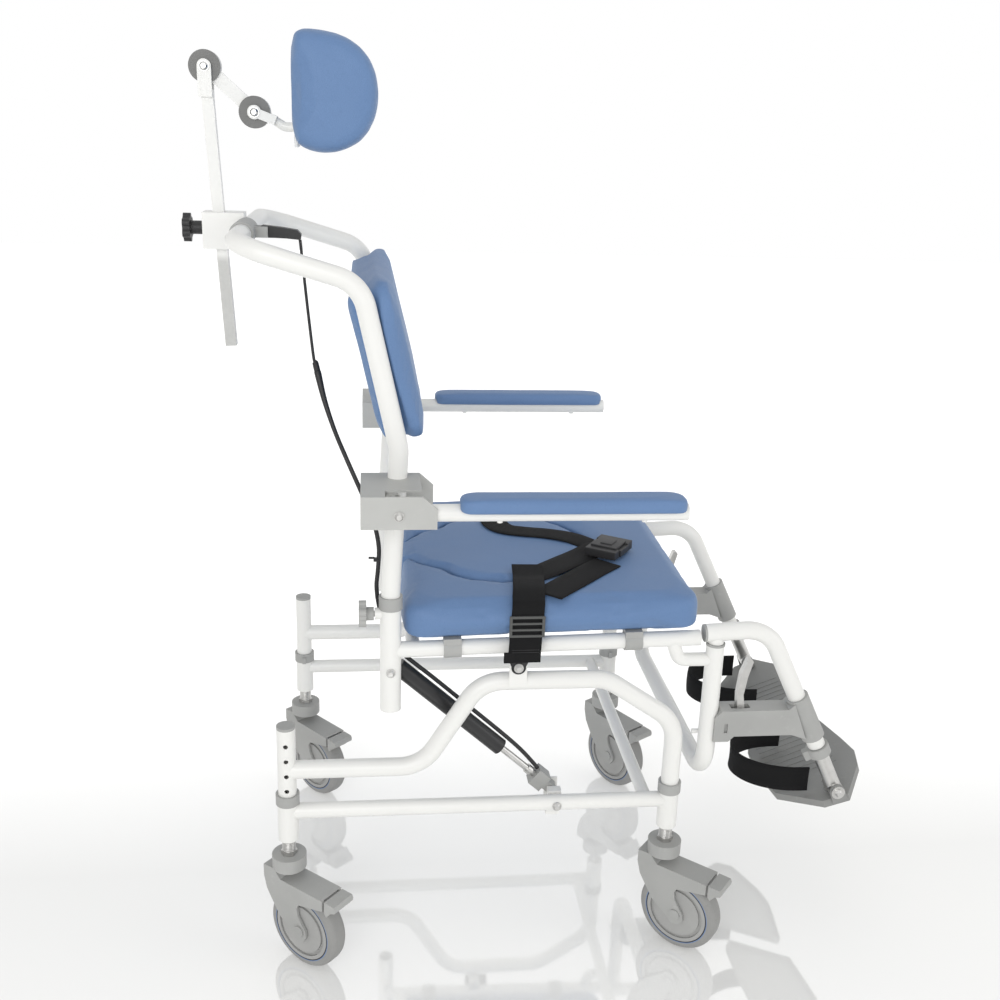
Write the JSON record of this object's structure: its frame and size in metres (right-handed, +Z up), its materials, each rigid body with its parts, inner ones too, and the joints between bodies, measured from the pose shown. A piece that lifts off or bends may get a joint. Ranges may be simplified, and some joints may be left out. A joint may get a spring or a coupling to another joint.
{
  "type": "tilting shower commode chair",
  "caption": "Wheeled shower commode chair with a tilting seat, lift-off cushion and infill, flip-up arms, swing-away footrests, headrest and braked castors.",
  "frame": {"origin": "on the floor under the middle of the chair's length and width", "axes": "+X forward, +Y to the occupant's left, +Z up"},
  "size_m": [0.9936, 0.618, 1.2526],
  "materials": {
    "white_paint": "semi-gloss white powder coat",
    "grey_plastic": "mid-grey moulded plastic",
    "dark_plastic": "dark grey moulded plastic",
    "wheel_grey": "grey non-marking tread on a grey core",
    "blue_vinyl": "blue vinyl over foam",
    "black_webbing": "black woven webbing",
    "black_plastic": "black moulded plastic",
    "black_metal": "black painted steel",
    "bright_steel": "zinc plated steel"
  },
  "bodies": {
    "base": {"base_frame": "white_paint", "sleeve_collars": "grey_plastic", "base_fixings": "bright_steel"},
    "side_frames": {"side_frames": "white_paint", "post_caps": "grey_plastic", "pivot_bolts": "bright_steel"},
    "seat": {"seat_frame": "white_paint", "frame_bushes": "grey_plastic", "seat_fixings": "bright_steel", "lap_belt": "black_webbing", "cable_lower": "black_plastic"},
    "cushion": {"seat_cushion": "blue_vinyl", "belt_hardware": "dark_plastic"},
    "infill": {"seat_infill": "blue_vinyl"},
    "back": {"back_frame": "white_paint", "arm_brackets": "grey_plastic", "back_fixings": "bright_steel", "back_pad": "blue_vinyl", "lever_mount": "grey_plastic", "cable_upper": "black_plastic", "head_clamp": "white_paint"},
    "back_knob_r": {"back_knob_r": "grey_plastic"},
    "back_knob_l": {"back_knob_l": "grey_plastic"},
    "tilt_lever": {"tilt_lever": "black_plastic"},
    "arm_r": {"arm_tube_r": "white_paint", "arm_pad_r": "blue_vinyl"},
    "arm_l": {"arm_tube_l": "white_paint", "arm_pad_l": "blue_vinyl"},
    "head_knob": {"head_knob": "black_plastic"},
    "head_bar": {"head_bar": "white_paint"},
    "head_link": {"head_link": "white_paint"},
    "head_rest": {"head_stem": "white_paint", "head_pad": "blue_vinyl"},
    "spring_cylinder": {"spring_cylinder": "black_metal"},
    "spring_rod": {"spring_rod": "bright_steel", "release_head": "grey_plastic"},
    "footrest_r": {"hanger_r": "white_paint", "hanger_fittings_r": "grey_plastic"},
    "latch_r": {"latch_lever_r": "bright_steel"},
    "extension_r": {"foot_extension_r": "bright_steel"},
    "footplate_r": {"footplate_r": "grey_plastic", "heel_loop_r": "black_webbing"},
    "footrest_l": {"hanger_l": "white_paint", "hanger_fittings_l": "grey_plastic"},
    "latch_l": {"latch_lever_l": "bright_steel"},
    "extension_l": {"foot_extension_l": "bright_steel"},
    "footplate_l": {"footplate_l": "grey_plastic", "heel_loop_l": "black_webbing"},
    "castor_rr": {"castor_fork_rr": "grey_plastic"},
    "wheel_rr": {"castor_wheel_rr": "wheel_grey"},
    "brake_rr": {"castor_brake_rr": "grey_plastic"},
    "castor_rl": {"castor_fork_rl": "grey_plastic"},
    "wheel_rl": {"castor_wheel_rl": "wheel_grey"},
    "brake_rl": {"castor_brake_rl": "grey_plastic"},
    "castor_fr": {"castor_fork_fr": "grey_plastic"},
    "wheel_fr": {"castor_wheel_fr": "wheel_grey"},
    "brake_fr": {"castor_brake_fr": "grey_plastic"},
    "castor_fl": {"castor_fork_fl": "grey_plastic"},
    "wheel_fl": {"castor_wheel_fl": "wheel_grey"},
    "brake_fl": {"castor_brake_fl": "grey_plastic"}
  },
  "joints": [
    {"name": "height_adjust", "type": "slide", "parent": "base", "child": "side_frames", "axis": [0, 0, 1], "range_m": [-0.023, 0]},
    {"name": "seat_tilt", "type": "hinge", "parent": "side_frames", "child": "seat", "pos_m": [-0.0498, 0, 0.452], "axis": [0, -1, 0], "range_deg": [0, 20]},
    {"name": "spring_swing", "type": "hinge", "parent": "seat", "child": "spring_cylinder", "pos_m": [-0.2212, -0.186, 0.441], "axis": [0, -1, 0], "range_deg": [-13, 0]},
    {"name": "spring_stroke", "type": "slide", "parent": "spring_cylinder", "child": "spring_rod", "axis": [0.7456, 0, -0.6664], "range_m": [-0.0475, 0], "deforming": ["cable_lower"]},
    {"name": "cushion_lift", "type": "slide", "parent": "seat", "child": "cushion", "axis": [0, 0, 1], "range_m": [0, 0.05], "deforming": ["lap_belt"]},
    {"name": "infill_lift", "type": "slide", "parent": "cushion", "child": "infill", "axis": [-0.0244, 0, 0.9997], "range_m": [0, 0.06]},
    {"name": "back_lift", "type": "slide", "parent": "seat", "child": "back", "axis": [0, 0, 1], "range_m": [0, 0.085]},
    {"name": "back_knob_turn_r", "type": "hinge", "parent": "seat", "child": "back_knob_r", "pos_m": [-0.2428, -0.212, 0.5223], "axis": [1, 0, 0], "continuous": true},
    {"name": "back_knob_turn_l", "type": "hinge", "parent": "seat", "child": "back_knob_l", "pos_m": [-0.2428, 0.212, 0.5223], "axis": [1, 0, 0], "continuous": true},
    {"name": "lever_pull", "type": "hinge", "parent": "back", "child": "tilt_lever", "pos_m": [-0.3868, -0.054, 1.003], "axis": [0, -1, 0], "range_deg": [0, 14], "stiffness_Nm_per_rad": 0.6, "springref_deg": -28.65},
    {"name": "arm_flip_r", "type": "hinge", "parent": "back", "child": "arm_r", "pos_m": [-0.2128, -0.283, 0.688], "axis": [0, -1, 0], "range_deg": [0, 95]},
    {"name": "arm_flip_l", "type": "hinge", "parent": "back", "child": "arm_l", "pos_m": [-0.2128, 0.283, 0.688], "axis": [0, -1, 0], "range_deg": [0, 95]},
    {"name": "head_knob_turn", "type": "hinge", "parent": "back", "child": "head_knob", "pos_m": [-0.4828, 0, 1.0015], "axis": [1, 0, 0], "continuous": true},
    {"name": "head_height", "type": "slide", "parent": "back", "child": "head_bar", "axis": [-0.0541, 0, 0.9985], "range_m": [-0.05, 0.1]},
    {"name": "head_link_tilt", "type": "hinge", "parent": "head_bar", "child": "head_link", "pos_m": [-0.4591, 0, 1.2067], "axis": [0, -1, 0], "range_deg": [-5, 80]},
    {"name": "head_pad_tilt", "type": "hinge", "parent": "head_link", "child": "head_rest", "pos_m": [-0.397, 0, 1.1519], "axis": [0, -1, 0], "range_deg": [-20, 40]},
    {"name": "footrest_swing_r", "type": "hinge", "parent": "seat", "child": "footrest_r", "pos_m": [0.2292, -0.212, 0.4], "axis": [0, 0, -1], "range_deg": [0, 85]},
    {"name": "latch_pull_r", "type": "hinge", "parent": "footrest_r", "child": "latch_r", "pos_m": [0.2732, -0.212, 0.3616], "axis": [0, -1, 0], "range_deg": [0, 12], "stiffness_Nm_per_rad": 0.3, "springref_deg": -28.65},
    {"name": "extension_slide_r", "type": "slide", "parent": "footrest_r", "child": "extension_r", "axis": [0.4415, 0, -0.8973], "range_m": [0, 0.05]},
    {"name": "footplate_tilt_r", "type": "hinge", "parent": "extension_r", "child": "footplate_r", "pos_m": [0.4292, -0.212, 0.235], "axis": [0, -1, 0], "range_deg": [-20, 45]},
    {"name": "footrest_swing_l", "type": "hinge", "parent": "seat", "child": "footrest_l", "pos_m": [0.2292, 0.212, 0.4], "axis": [0, 0, 1], "range_deg": [0, 85]},
    {"name": "latch_pull_l", "type": "hinge", "parent": "footrest_l", "child": "latch_l", "pos_m": [0.2732, 0.212, 0.3616], "axis": [0, -1, 0], "range_deg": [0, 12], "stiffness_Nm_per_rad": 0.3, "springref_deg": -28.65},
    {"name": "extension_slide_l", "type": "slide", "parent": "footrest_l", "child": "extension_l", "axis": [0.4415, 0, -0.8973], "range_m": [0, 0.05]},
    {"name": "footplate_tilt_l", "type": "hinge", "parent": "extension_l", "child": "footplate_l", "pos_m": [0.4292, 0.212, 0.235], "axis": [0, -1, 0], "range_deg": [-20, 45]},
    {"name": "castor_swivel_rr", "type": "hinge", "parent": "base", "child": "castor_rr", "pos_m": [-0.3628, -0.224, 0.15], "axis": [0, 0, 1], "continuous": true},
    {"name": "wheel_roll_rr", "type": "hinge", "parent": "castor_rr", "child": "wheel_rr", "pos_m": [-0.33675, -0.24585, 0.06], "axis": [0.6428, 0.766, 0], "continuous": true},
    {"name": "brake_press_rr", "type": "hinge", "parent": "castor_rr", "child": "brake_rr", "pos_m": [-0.30918, -0.26899, 0.1194], "axis": [0.6428, 0.766, 0], "range_deg": [0, 12]},
    {"name": "castor_swivel_rl", "type": "hinge", "parent": "base", "child": "castor_rl", "pos_m": [-0.3628, 0.224, 0.15], "axis": [0, 0, 1], "continuous": true},
    {"name": "wheel_roll_rl", "type": "hinge", "parent": "castor_rl", "child": "wheel_rl", "pos_m": [-0.34005, 0.19873, 0.06], "axis": [0.7431, 0.6691, 0], "continuous": true},
    {"name": "brake_press_rl", "type": "hinge", "parent": "castor_rl", "child": "brake_rl", "pos_m": [-0.31596, 0.17198, 0.1194], "axis": [0.7431, 0.6691, 0], "range_deg": [0, 12]},
    {"name": "castor_swivel_fr", "type": "hinge", "parent": "base", "child": "castor_fr", "pos_m": [0.1772, -0.224, 0.15], "axis": [0, 0, 1], "continuous": true},
    {"name": "wheel_roll_fr", "type": "hinge", "parent": "castor_fr", "child": "wheel_fr", "pos_m": [0.20325, -0.24585, 0.06], "axis": [0.6428, 0.766, 0], "continuous": true},
    {"name": "brake_press_fr", "type": "hinge", "parent": "castor_fr", "child": "brake_fr", "pos_m": [0.23082, -0.26899, 0.1194], "axis": [0.6428, 0.766, 0], "range_deg": [0, 12]},
    {"name": "castor_swivel_fl", "type": "hinge", "parent": "base", "child": "castor_fl", "pos_m": [0.1772, 0.224, 0.15], "axis": [0, 0, 1], "continuous": true},
    {"name": "wheel_roll_fl", "type": "hinge", "parent": "castor_fl", "child": "wheel_fl", "pos_m": [0.19621, 0.19581, 0.06], "axis": [0.829, 0.5592, 0], "continuous": true},
    {"name": "brake_press_fl", "type": "hinge", "parent": "castor_fl", "child": "brake_fl", "pos_m": [0.21634, 0.16597, 0.1194], "axis": [0.829, 0.5592, 0], "range_deg": [0, 12]}
  ],
  "couplings": [
    {"joint": "spring_swing", "follows": "seat_tilt", "ratio": -0.635},
    {"joint": "spring_stroke", "follows": "seat_tilt", "m_per_rad": -0.1347}
  ]
}
